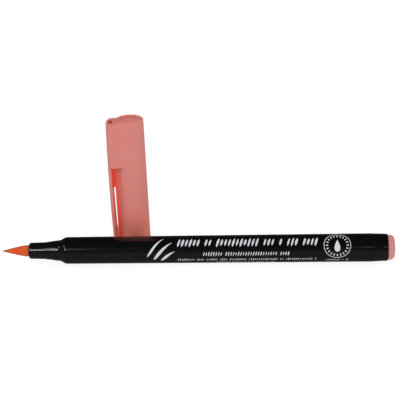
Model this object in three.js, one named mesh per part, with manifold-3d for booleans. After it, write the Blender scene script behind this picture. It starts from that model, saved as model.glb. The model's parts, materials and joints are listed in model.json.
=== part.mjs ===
// A brush pen, uncapped. The pen lies on its side along X with its tip towards -X, and its cap
// stands on its mouth behind the pen. Millimetres, +Z up, floor at z = 0, with the origin on the
// floor under the middle of the pair.

import * as THREE from "three";
import { mergeVertices } from "three/addons/utils/BufferGeometryUtils.js";
import Module from "manifold-3d";

const wasm = await Module();
wasm.setup();

// Clearances
const fit = 0.3; // between pieces that touch or press together
const sealGap = 0.13; // between the nose and the inner cap that seals on it
const landGap = 0.3; // between the clip's bump and the land it rests on

// Brush nib: a tapered felt tip on a round shank, whose thin tail enters the ink core
const nibLength = 9.5; // out of the nose
const nibTaperLength = 8;
const nibRadius = 1.93;
const nibPointRadius = 0.22;
const nibBulge = 0.09; // how far the taper swells past a straight cone
const nibPivotProud = 0.5; // the bending point, ahead of the nose's mouth
const shankTailRadius = 1.2;
const shankTailLength = 7; // inside the ink core
const shankPointLength = 1.6;

// Nose: a short round tip, a cone and a shoulder, with a spigot inside the barrel
const noseTipLength = 5.4;
const noseMouthRadius = 2.82;
const noseTipRadius = 2.92;
const noseEdgeRadius = 0.5;
const noseConeLength = 5;
const noseConeRise = 0.66;
const shoulderLength = 2.9;
const spigotLength = 8;
const ventCount = 3; // air channels along the bore
const ventWidth = 0.6;
const ventDepth = 0.25;

// Barrel: a thin tube, a little wider at the rear, with a slightly smaller tail beyond a fine step
const barrelLength = 110.45;
const barrelFrontRadius = 4.66;
const barrelRearRadius = 4.85;
const barrelWall = 0.76; // at the front
const tailLength = 4.9;
const tailStep = 0.08;
const tailDraft = 0.12;
const tailEdgeRadius = 0.3;

// Ink core in its film sleeve
const sleeveWall = 0.3;
const coreEndGap = 0.5;

// Tail plug, in the ink's colour
const plugHeadLength = 2;
const plugHeadInset = 0.32; // from the barrel's tail edge
const plugDraft = 0.1;
const plugEdgeRadius = 1.4;
const plugSpigotLength = 6;
const plugFingerRadius = 1.4;
const plugFingerLength = 9; // from the spigot to the ink core

// Cap: a tube closed at the top, with a shallow dish in its top face
const capHeight = 48.6;
const capWall = 1.06; // at the mouth
const capDraft = 0.12;
const capEdgeRadius = 0.45;
const capTopThickness = 1.6;
const capStepWidth = 0.7; // the ledge above the inner cap
const dishRimWidth = 1.5;
const dishDepth = 0.7;
const linerWall = 0.65;
const linerHeadroom = 2; // over the nib's tip
const capBehind = 12; // from the pen's axis to the cap's
const capFromTip = 45.67; // from the pen's tip, along the pen
const clipTurn = THREE.MathUtils.degToRad(8); // the clip's direction, from -X towards -Y

// Clip, moulded with the cap: a block, then a plate with a rib, over a land on the cap's side
const clipProud = 3.09; // from the cap's side to the clip's outer face
const blockHalfWidth = 4;
const blockCorner = 1.3;
const blockBottom = 32.2;
const blockTopDrop = 0.55; // below the cap's top
const pocketDepth = 3;
const pocketLength = 3.4;
const pocketWidth = 1.4;
const pocketWall = 0.95; // outside the pocket
const plateThickness = 1.15;
const plateHalfWidth = 3.3;
const plateEndHalfWidth = 2.5;
const plateEndCorner = 1.2;
const plateBottom = 3.6;
const ribHalfWidth = 1.6;
const ribThickness = 0.3;
const ribBottom = 9.2;
const landRise = 1.1; // from the cap's side
const landBottom = 3;
const webBottom = 24.35; // where the free arm starts
const bumpHeight = 4.8;

// Facets
const roundSegments = 48;
const arcSteps = 4;
const weldGap = 1e-4; // vertices closer than this are one
const runOver = 1; // how far a cut or a joined piece runs past the face it crosses

// Sizes that follow
const noseConeRadius = noseTipRadius + noseConeRise;
const barrelBore = barrelFrontRadius - barrelWall;
const noseBore = nibRadius + fit;
const sleeveRadius = barrelBore - fit;
const coreRadius = sleeveRadius - sleeveWall - fit;
const linerBore = noseTipRadius + sealGap;
const linerRadius = linerBore + linerWall;
const capBore = linerRadius + fit;
const capMouthRadius = capBore + capWall;
const capTopRadius = capMouthRadius - capDraft;
const tailRadius = barrelRearRadius - tailStep;
const tailEndRadius = tailRadius - tailDraft;
const plugRadius = tailEndRadius - plugHeadInset;

// Places along the pen, from its tip
const nosePlace = nibLength;
const conePlace = nosePlace + noseTipLength;
const shoulderPlace = conePlace + noseConeLength;
const barrelPlace = shoulderPlace + shoulderLength;
const barrelEnd = barrelPlace + barrelLength;
const tailPlace = barrelEnd - tailLength;
const spigotPlace = barrelPlace + fit;
const spigotEnd = spigotPlace + spigotLength;
const plugPlace = barrelEnd + fit;
const penLength = plugPlace + plugHeadLength;
const pivotPlace = nosePlace - nibPivotProud;
const tipBallRadius = nibRadius - fit;
const shankPlace = pivotPlace + tipBallRadius + fit;
const corePlace = spigotEnd + coreEndGap;
const coreEnd = barrelEnd - plugSpigotLength - plugFingerLength - coreEndGap;
const shankEnd = corePlace + shankTailLength;

// Places up the cap, from its mouth. Put on, the mouth's inner edge seats on the shoulder.
const seatShare = (capBore - noseConeRadius) / (barrelFrontRadius - noseConeRadius);
const seatDepth = seatShare * shoulderLength;
const noseConeTop = seatDepth + noseConeLength;
const linerPlace = noseConeTop + fit;
const linerTop = noseConeTop + noseTipLength + nibLength + linerHeadroom;
const capStep = linerTop + linerWall + fit;
const capBoreTop = capHeight - dishDepth - capTopThickness;
const blockTop = capHeight - blockTopDrop;
const landReach = capMouthRadius + landRise;
const blockReach = capMouthRadius + clipProud;
const plateInner = blockReach - plateThickness;
const ribInner = plateInner - ribThickness;
const armTop = webBottom - fit;

// Shapes

// Points of a rounded edge in a profile, from one angle to another about its centre
function arc(centreRadius, centrePlace, radius, from, to) {
  const points = [];
  for (let i = 0; i <= arcSteps; i++) {
    const angle = from + ((to - from) * i) / arcSteps;
    points.push([
      centreRadius + radius * Math.cos(angle),
      centrePlace + radius * Math.sin(angle),
    ]);
  }
  return points;
}

// A closed profile of [radius, place] points turned about +Z
function upright(profile) {
  const points = profile.map(([radius, place]) => new THREE.Vector2(radius, place));
  return new THREE.LatheGeometry(points, roundSegments).rotateX(Math.PI / 2);
}

// The same turned about +X
function lying(profile) {
  return upright(profile).rotateY(Math.PI / 2);
}

// A tube between two places, open at both ends
function tubeProfile(inner, outer, start, end) {
  return [
    [inner, start],
    [outer, start],
    [outer, end],
    [inner, end],
    [inner, start],
  ];
}

function box(xRange, yRange, zRange) {
  const ranges = [xRange, yRange, zRange];
  const size = ranges.map(([low, high]) => high - low);
  const middle = ranges.map(([low, high]) => (low + high) / 2);
  return new THREE.BoxGeometry(...size).translate(...middle);
}

// A flat outline in Y and Z, given thickness from x = -inner out to -(inner + thickness)
function plate(outline, inner, thickness) {
  const options = { depth: thickness, bevelEnabled: false, curveSegments: arcSteps };
  return new THREE.ExtrudeGeometry(outline, options)
    .rotateX(Math.PI / 2)
    .rotateZ(-Math.PI / 2)
    .translate(-inner, 0, 0);
}

// Solids

function solidOf(geometry) {
  const plain = geometry.clone();
  plain.deleteAttribute("normal");
  plain.deleteAttribute("uv");
  const merged = mergeVertices(plain, weldGap);
  const mesh = new wasm.Mesh({
    numProp: 3,
    vertProperties: merged.attributes.position.array,
    triVerts: new Uint32Array(merged.index.array),
  });
  return new wasm.Manifold(mesh);
}

function joined(...geometries) {
  return geometries.map(solidOf).reduce((a, b) => a.add(b));
}

function geometryOf(solid) {
  const mesh = solid.getMesh();
  const geometry = new THREE.BufferGeometry()
    .setAttribute("position", new THREE.BufferAttribute(mesh.vertProperties, 3))
    .setIndex(new THREE.BufferAttribute(mesh.triVerts, 1));
  geometry.computeVertexNormals();
  return geometry;
}

function piece(name, geometry, material) {
  const mesh = new THREE.Mesh(geometry, material);
  mesh.name = name;
  return mesh;
}

function plastic(color, roughness) {
  return new THREE.MeshStandardMaterial({ color, roughness, metalness: 0 });
}

const blackGloss = plastic(0x141416, 0.18);
const salmonPlastic = plastic(0xd3827a, 0.38);
const wetFelt = plastic(0xd65c26, 0.75);
const coreFibre = plastic(0xdc8a72, 0.95);
const clearFilm = plastic(0xe8e4de, 0.3);

// Nib

function brushTip() {
  const profile = [[0, 0]];
  const steps = 3 * arcSteps;
  for (let i = 0; i <= steps; i++) {
    const share = i / steps;
    const swell = nibBulge * Math.sin(Math.PI * share);
    const radius = nibPointRadius + (nibRadius - nibPointRadius) * share + swell;
    profile.push([radius, nibPointRadius + (nibTaperLength - nibPointRadius) * share]);
  }
  profile.push([nibRadius, pivotPlace]);
  profile.push(...arc(0, pivotPlace, tipBallRadius, 0, Math.PI / 2));
  return piece("brush_tip", lying(profile), wetFelt);
}

function nibShank() {
  const profile = [
    [0, shankPlace],
    [nibRadius, shankPlace],
    [nibRadius, spigotEnd],
    [shankTailRadius, spigotEnd],
    [shankTailRadius, shankEnd - shankPointLength],
    [0, shankEnd],
  ];
  return piece("nib_shank", lying(profile), wetFelt);
}

// Nose

// The shoulder's curve, level at both ends
function shoulderPoints() {
  const points = [];
  const rise = barrelFrontRadius - noseConeRadius;
  for (let i = 0; i <= 2 * arcSteps; i++) {
    const share = i / (2 * arcSteps);
    const lift = (1 - Math.cos(Math.PI * share)) / 2;
    points.push([noseConeRadius + rise * lift, shoulderPlace + shoulderLength * share]);
  }
  return points;
}

function noseSection() {
  const edgeRadius = noseMouthRadius - noseEdgeRadius;
  const body = solidOf(
    lying([
      [noseBore, nosePlace],
      ...arc(edgeRadius, nosePlace + noseEdgeRadius, noseEdgeRadius, -Math.PI / 2, 0),
      [noseTipRadius, conePlace],
      ...shoulderPoints(),
      [sleeveRadius, barrelPlace],
      [sleeveRadius, spigotEnd],
      [noseBore, spigotEnd],
      [noseBore, nosePlace],
    ]),
  );
  const vents = [];
  for (let i = 0; i < ventCount; i++) {
    const channel = box(
      [nosePlace - fit, spigotEnd + fit],
      [-ventWidth / 2, ventWidth / 2],
      [0, noseBore + ventDepth],
    );
    vents.push(channel.rotateX((2 * Math.PI * i) / ventCount));
  }
  return piece("nose_section", geometryOf(body.subtract(joined(...vents))), blackGloss);
}

// Barrel and what it holds

function barrel() {
  const tailEdge = tailEndRadius - tailEdgeRadius;
  const profile = [
    [barrelBore, spigotPlace],
    [barrelFrontRadius, spigotPlace],
    [barrelRearRadius, tailPlace],
    [tailRadius, tailPlace + tailStep],
    ...arc(tailEdge, barrelEnd - tailEdgeRadius, tailEdgeRadius, 0, Math.PI / 2),
    [barrelBore, barrelEnd],
    [barrelBore, spigotPlace],
  ];
  return piece("barrel", lying(profile), blackGloss);
}

function inkCore() {
  const hole = shankTailRadius + fit;
  const profile = [
    [hole, corePlace],
    [coreRadius, corePlace],
    [coreRadius, coreEnd],
    [0, coreEnd],
    [0, shankEnd + fit],
    [hole, shankEnd + fit],
    [hole, corePlace],
  ];
  return piece("ink_core", lying(profile), coreFibre);
}

function coreSleeve() {
  const profile = tubeProfile(sleeveRadius - sleeveWall, sleeveRadius, corePlace, coreEnd);
  return piece("core_sleeve", lying(profile), clearFilm);
}

function tailPlug() {
  const edge = plugRadius - plugDraft - plugEdgeRadius;
  const spigotRadius = barrelBore - fit;
  const fingerEnd = barrelEnd - plugSpigotLength;
  const profile = [
    [0, coreEnd + coreEndGap],
    [plugFingerRadius, coreEnd + coreEndGap],
    [plugFingerRadius, fingerEnd],
    [spigotRadius, fingerEnd],
    [spigotRadius, plugPlace],
    [plugRadius, plugPlace],
    ...arc(edge, penLength - plugEdgeRadius, plugEdgeRadius, 0, Math.PI / 2),
    [0, penLength],
  ];
  return piece("tail_plug", lying(profile), salmonPlastic);
}

// Cap, in its own frame: axis on z, mouth at z = 0, clip towards -X

function capOuter() {
  const edge = capTopRadius - capEdgeRadius;
  const dish = capTopRadius - dishRimWidth;
  return upright([
    [0, 0],
    [capMouthRadius, 0],
    ...arc(edge, capHeight - capEdgeRadius, capEdgeRadius, 0, Math.PI / 2),
    [dish, capHeight],
    [dish, capHeight - dishDepth],
    [0, capHeight - dishDepth],
  ]);
}

function capBoreSolid() {
  const upperBore = capBore - capStepWidth;
  return upright([
    [0, -runOver],
    [capBore, -runOver],
    [capBore, capStep],
    [upperBore, capStep],
    [upperBore, capBoreTop],
    [0, capBoreTop],
  ]);
}

function clipBlock() {
  const corner = -blockReach + blockCorner;
  const side = blockHalfWidth - blockCorner;
  const plan = new THREE.Shape();
  plan.moveTo(0, -blockHalfWidth);
  plan.lineTo(0, blockHalfWidth);
  plan.lineTo(corner, blockHalfWidth);
  plan.absarc(corner, side, blockCorner, Math.PI / 2, Math.PI);
  plan.absarc(corner, -side, blockCorner, Math.PI, 1.5 * Math.PI);
  const options = {
    depth: blockTop - blockBottom,
    bevelEnabled: false,
    curveSegments: arcSteps,
  };
  return new THREE.ExtrudeGeometry(plan, options).translate(0, 0, blockBottom);
}

function plateOutline(bottom, bottomHalfWidth, corner, top) {
  const inner = bottomHalfWidth - corner;
  const outline = new THREE.Shape();
  outline.moveTo(-plateHalfWidth, top);
  outline.absarc(-inner, bottom + corner, corner, Math.PI, 1.5 * Math.PI);
  outline.absarc(inner, bottom + corner, corner, 1.5 * Math.PI, 2 * Math.PI);
  outline.lineTo(plateHalfWidth, top);
  return outline;
}

function capShell() {
  const land = box(
    [-landReach, 0],
    [-ribHalfWidth, ribHalfWidth],
    [landBottom, blockBottom + runOver],
  );
  const web = box(
    [-(plateInner + plateThickness / 2), 0],
    [-ribHalfWidth, ribHalfWidth],
    [webBottom, blockBottom + runOver],
  );
  const fixedPlate = box(
    [-blockReach, -plateInner],
    [-plateHalfWidth, plateHalfWidth],
    [webBottom, blockBottom + runOver],
  );
  const pocketOut = blockReach - pocketWall;
  const pocket = box(
    [-pocketOut, -pocketOut + pocketWidth],
    [-pocketLength / 2, pocketLength / 2],
    [blockTop - pocketDepth, capHeight + runOver],
  );
  const outside = joined(capOuter(), clipBlock(), land, web, fixedPlate);
  const hollow = joined(capBoreSolid(), pocket);
  return piece("cap_shell", geometryOf(outside.subtract(hollow)), salmonPlastic);
}

function clipArm() {
  const blade = plate(
    plateOutline(plateBottom, plateEndHalfWidth, plateEndCorner, armTop),
    plateInner,
    plateThickness,
  );
  const intoBlade = plateInner + plateThickness / 2;
  const rib = box([-intoBlade, -ribInner], [-ribHalfWidth, ribHalfWidth], [ribBottom, armTop]);
  const bump = box(
    [-intoBlade, -(landReach + landGap)],
    [-ribHalfWidth, ribHalfWidth],
    [ribBottom - bumpHeight, ribBottom + fit],
  );
  return piece("clip_arm", geometryOf(joined(blade, rib, bump)), salmonPlastic);
}

function innerCap() {
  const profile = [
    [linerBore, linerPlace],
    [linerRadius, linerPlace],
    [linerRadius, linerTop + linerWall],
    [0, linerTop + linerWall],
    [0, linerTop],
    [linerBore, linerTop],
    [linerBore, linerPlace],
  ];
  return piece("inner_cap", upright(profile), salmonPlastic);
}

// The pair, centred on the floor

const pen = new THREE.Group();
pen.add(brushTip(), nibShank(), noseSection(), barrel(), inkCore(), coreSleeve(), tailPlug());

const cap = new THREE.Group();
cap.add(capShell(), innerCap(), clipArm());

const pairDepth = barrelRearRadius + capBehind + capMouthRadius;
pen.position.set(-penLength / 2, barrelRearRadius - pairDepth / 2, barrelRearRadius);
cap.position.set(capFromTip - penLength / 2, pairDepth / 2 - capMouthRadius, 0);
cap.rotation.z = clipTurn;

const brushPen = new THREE.Group();
brushPen.add(pen, cap);

export default brushPen;
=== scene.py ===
# Uncapped brush pen with its cap stood on its mouth behind it.
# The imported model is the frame: every piece here takes its place from it.
import json
import math

import bmesh
import bpy
from mathutils import Matrix, Vector


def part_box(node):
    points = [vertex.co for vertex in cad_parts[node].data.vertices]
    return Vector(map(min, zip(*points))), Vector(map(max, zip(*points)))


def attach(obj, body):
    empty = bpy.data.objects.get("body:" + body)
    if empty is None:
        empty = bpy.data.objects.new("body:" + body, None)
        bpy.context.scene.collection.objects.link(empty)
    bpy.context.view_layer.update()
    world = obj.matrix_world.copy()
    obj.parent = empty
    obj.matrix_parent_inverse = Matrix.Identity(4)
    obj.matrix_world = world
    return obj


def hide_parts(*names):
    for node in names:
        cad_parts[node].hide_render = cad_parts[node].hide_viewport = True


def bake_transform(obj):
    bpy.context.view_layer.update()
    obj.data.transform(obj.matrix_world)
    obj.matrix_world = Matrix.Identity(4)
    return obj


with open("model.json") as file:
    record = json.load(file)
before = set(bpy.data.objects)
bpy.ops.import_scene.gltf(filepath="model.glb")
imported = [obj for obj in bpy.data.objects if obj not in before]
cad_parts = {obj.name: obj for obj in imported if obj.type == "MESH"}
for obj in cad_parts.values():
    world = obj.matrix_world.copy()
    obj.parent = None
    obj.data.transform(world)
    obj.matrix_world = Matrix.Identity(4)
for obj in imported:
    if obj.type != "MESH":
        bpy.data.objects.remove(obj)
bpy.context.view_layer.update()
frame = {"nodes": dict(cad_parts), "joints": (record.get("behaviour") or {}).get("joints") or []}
joints = {joint["name"]: joint for joint in frame["joints"]}
mm = 0.001  # the sizes below are in millimetres
print("frame loaded:", len(frame["nodes"]), "nodes")


# Node helpers

def setInputs(tree, node, values):
    # each value is a plain one, or the socket that feeds the input
    for key, value in values.items():
        if isinstance(value, bpy.types.NodeSocket):
            tree.links.new(value, node.inputs[key])
        else:
            node.inputs[key].default_value = value


def addNode(tree, kind, inputs=None, **settings):
    node = tree.nodes.new(kind)
    for key, value in settings.items():
        setattr(node, key, value)
    setInputs(tree, node, inputs or {})
    return node


def addSockets(tree, kind, names, way="INPUT"):
    for name in names:
        tree.interface.new_socket(name, in_out=way, socket_type="NodeSocket" + kind)


def splitVector(tree, vector):
    return addNode(tree, "ShaderNodeSeparateXYZ", {0: vector}).outputs


def joinVector(tree, x=0.0, y=0.0, z=0.0):
    return addNode(tree, "ShaderNodeCombineXYZ", {0: x, 1: y, 2: z}).outputs[0]


def mathNode(tree, operation, *values):
    return addNode(tree, "ShaderNodeMath", dict(enumerate(values)), operation=operation).outputs[0]


def mixValues(tree, mask, first, second):
    return addNode(tree, "ShaderNodeMix", {0: mask, 2: first, 3: second}).outputs[0]


def mixColours(tree, mask, first, second):
    inputs = {0: mask, 6: first, 7: second}
    return addNode(tree, "ShaderNodeMix", inputs, data_type="RGBA").outputs[2]


def spanned(tree, value, low, high, start=0.0, end=1.0):
    # eases from start to end as value goes from low to high
    return addNode(tree, "ShaderNodeMapRange", {
        "Value": value,
        "From Min": low,
        "From Max": high,
        "To Min": start,
        "To Max": end,
    }, interpolation_type="SMOOTHSTEP").outputs[0]


def newMaterial(name):
    material = bpy.data.materials.new(name)
    material.use_nodes = True
    return material, material.node_tree


def setShader(tree, values):
    setInputs(tree, tree.nodes["Principled BSDF"], values)


def shade(red, green, blue):
    # a display colour out of 255, as the linear colour that the nodes hold
    def linear(value):
        value /= 255
        return value / 12.92 if value <= 0.04045 else ((value + 0.055) / 1.055) ** 2.4
    return (linear(red), linear(green), linear(blue), 1.0)


def addObject(name, data):
    made = bpy.data.objects.new(name, data)
    bpy.context.scene.collection.objects.link(made)
    return made


# Camera, floor and light

cameraLook = {
    "aim": (1.475, 0.2, 20.6),
    "distance": 396.6,
    "elevation": 24.05,
    "turn": 3.82,  # from straight on, towards the tail
    "roll": 2.28,
    "lens": 103.5,
    "sensor": 36.0,
    "nearest": 0.01,  # metres
}


def aimedRotation(place, target, roll=0.0):
    facing = (target - place).to_track_quat("-Z", "Y").to_matrix()
    return (facing @ Matrix.Rotation(roll, 3, "Z")).to_4x4()


def makeCamera():
    elevation = math.radians(cameraLook["elevation"])
    turn = math.radians(cameraLook["turn"])
    aim = Vector(cameraLook["aim"]) * mm
    back = Vector((
        math.sin(turn) * math.cos(elevation),
        -math.cos(turn) * math.cos(elevation),
        math.sin(elevation),
    ))
    place = aim + back * cameraLook["distance"] * mm
    data = bpy.data.cameras.new("camera")
    data.sensor_width = cameraLook["sensor"]
    data.lens = cameraLook["lens"]
    data.clip_start = cameraLook["nearest"]
    camera = addObject("camera", data)
    roll = -math.radians(cameraLook["roll"])
    camera.matrix_world = Matrix.Translation(place) @ aimedRotation(place, aim, roll)
    bpy.context.scene.camera = camera


lampAim = Vector((0, 0, 0.01))
lampLook = {
    # place and size in metres, watts; the mirrored ones only show as reflections
    "frontHigh": {"place": (-0.1, -0.7, 0.62), "size": (1.0, 0.7), "watts": 1.9, "mirrored": False},
    "leftStrip": {"place": (-0.19, -0.36, 0.245), "size": (0.1, 0.085), "watts": 0.3, "mirrored": True},
    "leftHigh": {"place": (-0.36, -0.22, 0.4), "size": (0.36, 0.045), "watts": 0.42, "mirrored": True},
    "rightStrip": {"place": (0.15, -0.36, 0.205), "size": (0.12, 0.03), "watts": 0.028, "mirrored": True},
    "rightHigh": {"place": (0.36, -0.16, 0.33), "size": (0.1, 0.1), "watts": 0.25, "mirrored": True},
}


def makeLamp(name, look):
    data = bpy.data.lights.new(name, "AREA")
    data.shape = "RECTANGLE"
    data.size, data.size_y = look["size"]
    data.energy = look["watts"]
    lamp = addObject(name, data)
    place = Vector(look["place"])
    lamp.matrix_world = Matrix.Translation(place) @ aimedRotation(place, lampAim)
    lamp.visible_glossy = look["mirrored"]
    lamp.visible_diffuse = not look["mirrored"]


worldLook = {
    "seen": 1.0,
    "diffuse": 0.92,
    "mirroredLow": 0.06,  # the light table's level, up to the height of the camera
    "mirroredHigh": 0.01,
    "lowEdge": (0.38, 0.46),
}


def makeWorld():
    look = worldLook
    world = bpy.data.worlds.new("studio")
    world.use_nodes = True
    tree = world.node_tree
    ray = addNode(tree, "ShaderNodeLightPath").outputs
    place = addNode(tree, "ShaderNodeTexCoord").outputs["Generated"]
    height = splitVector(tree, place)["Z"]
    mirrored = spanned(tree, height, *look["lowEdge"], look["mirroredLow"], look["mirroredHigh"])
    unseen = mixValues(tree, ray["Is Glossy Ray"], look["diffuse"], mirrored)
    setInputs(tree, tree.nodes["Background"], {
        "Color": (1, 1, 1, 1),
        "Strength": mixValues(tree, ray["Is Camera Ray"], unseen, look["seen"]),
    })
    bpy.context.scene.world = world


floorLook = {
    "half": 3.0,
    "tone": (0.14, 0.14, 0.14, 1),
    "roughness": 0.9,
    "seen": 0.9,  # a lit white table, which drowns most of the shadow
    "mirrored": 0.06,
}


def makeFloor():
    look = floorLook
    half = look["half"]
    mesh = bpy.data.meshes.new("floor")
    corners = [(-half, -half, 0), (half, -half, 0), (half, half, 0), (-half, half, 0)]
    mesh.from_pydata(corners, [], [(0, 1, 2, 3)])
    material, tree = newMaterial("paleFloor")
    ray = addNode(tree, "ShaderNodeLightPath").outputs
    setShader(tree, {
        "Base Color": look["tone"],
        "Roughness": look["roughness"],
        "Specular IOR Level": 0.0,
        "Emission Color": (1, 1, 1, 1),
        "Emission Strength": mixValues(tree, ray["Is Glossy Ray"], look["seen"], look["mirrored"]),
    })
    mesh.materials.append(material)
    addObject("floor", mesh)


# Materials

grainLook = {
    "fineDetail": 3.0,
    "fineRoughness": 0.6,
    "cloudDetail": 2.0,
    "cloudRoughness": 0.5,
    "cloudScale": 0.12,  # the clouds' scale against the fine grain's
    "cloudMiddle": 0.5,
}


def makeGrainGroup():
    # fine unevenness and soft clouds, shared by every material of the pen and the cap
    look = grainLook
    group = bpy.data.node_groups.new("surfaceGrain", "ShaderNodeTree")
    addSockets(group, "Float", ["Scale", "Roughness", "Roughness Spread"])
    addSockets(group, "Vector", ["Vector", "Stretch"])
    addSockets(group, "Float", ["Roughness", "Height", "Cloud"], "OUTPUT")
    inside = addNode(group, "NodeGroupInput").outputs
    stretched = addNode(group, "ShaderNodeVectorMath", {
        0: inside["Vector"],
        1: inside["Stretch"],
    }, operation="MULTIPLY").outputs[0]
    fine = addNode(group, "ShaderNodeTexNoise", {
        "Vector": stretched,
        "Scale": inside["Scale"],
        "Detail": look["fineDetail"],
        "Roughness": look["fineRoughness"],
    }).outputs["Fac"]
    cloud = addNode(group, "ShaderNodeTexNoise", {
        "Vector": stretched,
        "Scale": mathNode(group, "MULTIPLY", inside["Scale"], look["cloudScale"]),
        "Detail": look["cloudDetail"],
        "Roughness": look["cloudRoughness"],
    }).outputs["Fac"]
    centred = mathNode(group, "SUBTRACT", cloud, look["cloudMiddle"])
    rough = mathNode(group, "MULTIPLY_ADD", centred, inside["Roughness Spread"], inside["Roughness"])
    addNode(group, "NodeGroupOutput", {"Roughness": rough, "Height": fine, "Cloud": cloud})
    return group


grainGroup = makeGrainGroup()


def newGrainy(name, look):
    # a material with the grain in its roughness and its bump
    material, tree = newMaterial(name)
    place = addNode(tree, "ShaderNodeTexCoord").outputs["Object"]
    grain = addNode(tree, "ShaderNodeGroup", {
        "Vector": place,
        "Scale": look["grainScale"],
        "Stretch": look.get("grainStretch", (1, 1, 1)),
        "Roughness": look["roughness"],
        "Roughness Spread": look["roughnessSpread"],
    }, node_tree=grainGroup).outputs
    bump = addNode(tree, "ShaderNodeBump", {
        "Height": grain["Height"],
        "Strength": look["bump"],
        "Distance": look["bumpDepth"] * mm,
    })
    setShader(tree, {"Roughness": grain["Roughness"], "Normal": bump.outputs["Normal"]})
    return material, tree, place, grain


def mottled(tree, grain, look):
    return mixColours(tree, grain["Cloud"], look["tone"], look["cloudTone"])


def makeMottled(name, look):
    material, tree, _, grain = newGrainy(name, look)
    setShader(tree, {"Base Color": mottled(tree, grain, look)})
    return material


def setGlow(tree, look):
    # light that soaks in and spreads, and how much the surface mirrors
    setShader(tree, {
        "Subsurface Weight": look["glow"],
        "Subsurface Radius": look["glowReach"],
        "Subsurface Scale": look["glowDepth"] * mm,
        "Specular IOR Level": look["specular"],
    })


blackLook = {
    "tone": shade(8, 8, 9),
    "cloudTone": shade(12, 12, 13),
    "grainScale": 700.0,
    "roughness": 0.13,
    "roughnessSpread": 0.06,
    "bump": 0.01,
    "bumpDepth": 0.01,
}
salmonLook = {
    "tone": shade(211, 131, 122),
    "cloudTone": shade(205, 124, 115),
    # painted shade with a painted red glow, for the slot, the web, the pocket and the clip's back
    "recessShadeTone": shade(238, 82, 60),
    # painted shade: a redder tone near the cap's mouth, where the black barrel shades it
    "lowShadeTone": shade(222, 124, 112),
    "lowShadeSpan": (0.004, 0.024),  # metres up the cap over which it turns from its painted low shade
    "grainScale": 500.0,
    "grainStretch": (1, 1, 0.15),
    "roughness": 0.36,
    "roughnessSpread": 0.1,
    "bump": 0.05,
    "bumpDepth": 0.03,
    "glow": 0.5,
    "glowReach": (1.0, 0.35, 0.25),  # for red, green and blue
    "glowDepth": 2.0,
    "specular": 0.4,
}
endPlugLook = dict(
    salmonLook,
    tone=shade(201, 136, 133),
    cloudTone=shade(195, 129, 126),
    grainStretch=(1, 1, 1),
    glow=0.3,
    roughness=0.3,
)


def makeCapPlastic(name, look):
    # the cap's plastic has painted red shade near its mouth, where the barrel shades it, and painted
    # shade with a painted red glow between facing walls
    material, tree, place, grain = newGrainy(name, look)
    # painted shade near the mouth, fading out going up the cap
    aboveLowShade = spanned(tree, splitVector(tree, place)["Z"], *look["lowShadeSpan"])
    colour = mixColours(tree, aboveLowShade, look["lowShadeTone"], mottled(tree, grain, look))
    # painted shade and red glow in the hollows, from the vertex values
    recessShade = addNode(tree, "ShaderNodeAttribute", attribute_name="recessShade").outputs["Fac"]
    colour = mixColours(tree, recessShade, colour, look["recessShadeTone"])
    setShader(tree, {"Base Color": colour})
    setGlow(tree, look)
    return material


def makePlugPlastic(name, look):
    material = makeMottled(name, look)
    setGlow(material.node_tree, look)
    return material


feltLook = {
    "tone": shade(202, 74, 20),
    "fibreTone": shade(216, 88, 30),
    "fibreSpan": (0.35, 0.65),  # the stretch of the grain's height that turns into fibres
    "tipTone": shade(104, 74, 60),
    "tipLength": 2.8,
    "mouthTone": shade(196, 82, 58),
    "mouthLength": 2.0,
    # painted shade on the nib's edges, where they turn away from the light
    "edgeShadeTone": shade(140, 50, 40),
    "edgeShadeSpan": (0.3, 0.9),  # how far the surface turns away from the camera before it takes the painted edge shade
    "grainScale": 2600.0,
    "grainStretch": (0.12, 1, 1),
    "roughness": 0.7,
    "roughnessSpread": 0.2,
    "bump": 0.35,
    "bumpDepth": 0.05,
    "glow": 0.25,
    "glowReach": (1.0, 0.3, 0.1),
    "glowDepth": 0.6,
    "specular": 0.15,
    "sheen": 0.03,
    "sheenTone": shade(255, 170, 150),
}


def makeFelt(name, look, pointX, collarX):
    # inked felt: darker at its point, with painted shade where it turns away from the camera, and redder
    # at the nose's mouth
    material, tree, place, grain = newGrainy(name, look)
    along = splitVector(tree, place)["X"]
    fibres = spanned(tree, grain["Height"], *look["fibreSpan"])
    colour = mixColours(tree, fibres, look["tone"], look["fibreTone"])
    pastTip = spanned(tree, along, pointX * mm, (pointX + look["tipLength"]) * mm)
    colour = mixColours(tree, pastTip, look["tipTone"], colour)
    nearMouth = spanned(tree, along, (collarX - look["mouthLength"]) * mm, collarX * mm)
    colour = mixColours(tree, nearMouth, colour, look["mouthTone"])
    # painted shade: darker where the felt turns away from the camera
    turned = addNode(tree, "ShaderNodeLayerWeight").outputs["Facing"]
    edgeShade = spanned(tree, turned, *look["edgeShadeSpan"])
    colour = mixColours(tree, edgeShade, colour, look["edgeShadeTone"])
    setGlow(tree, look)
    setShader(tree, {
        "Base Color": colour,
        "Sheen Weight": look["sheen"],
        "Sheen Tint": look["sheenTone"],
    })
    return material


inkLook = {
    "tone": shade(214, 217, 222),
    "cloudTone": shade(184, 188, 194),
    "grainScale": 3000.0,
    "roughness": 0.45,
    "roughnessSpread": 0.15,
    "bump": 0.1,
    "bumpDepth": 0.01,
}
coreLook = {
    "tone": shade(216, 138, 112),
    "cloudTone": shade(236, 176, 152),
    "grainScale": 4000.0,
    "grainStretch": (0.04, 1, 1),
    "roughness": 0.9,
    "roughnessSpread": 0.1,
    "bump": 0.5,
    "bumpDepth": 0.05,
}
filmLook = {
    "tone": shade(232, 228, 222),
    "cloudTone": shade(222, 210, 204),
    "grainScale": 300.0,
    "roughness": 0.22,
    "roughnessSpread": 0.1,
    "bump": 0.2,
    "bumpDepth": 0.03,
}

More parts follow.
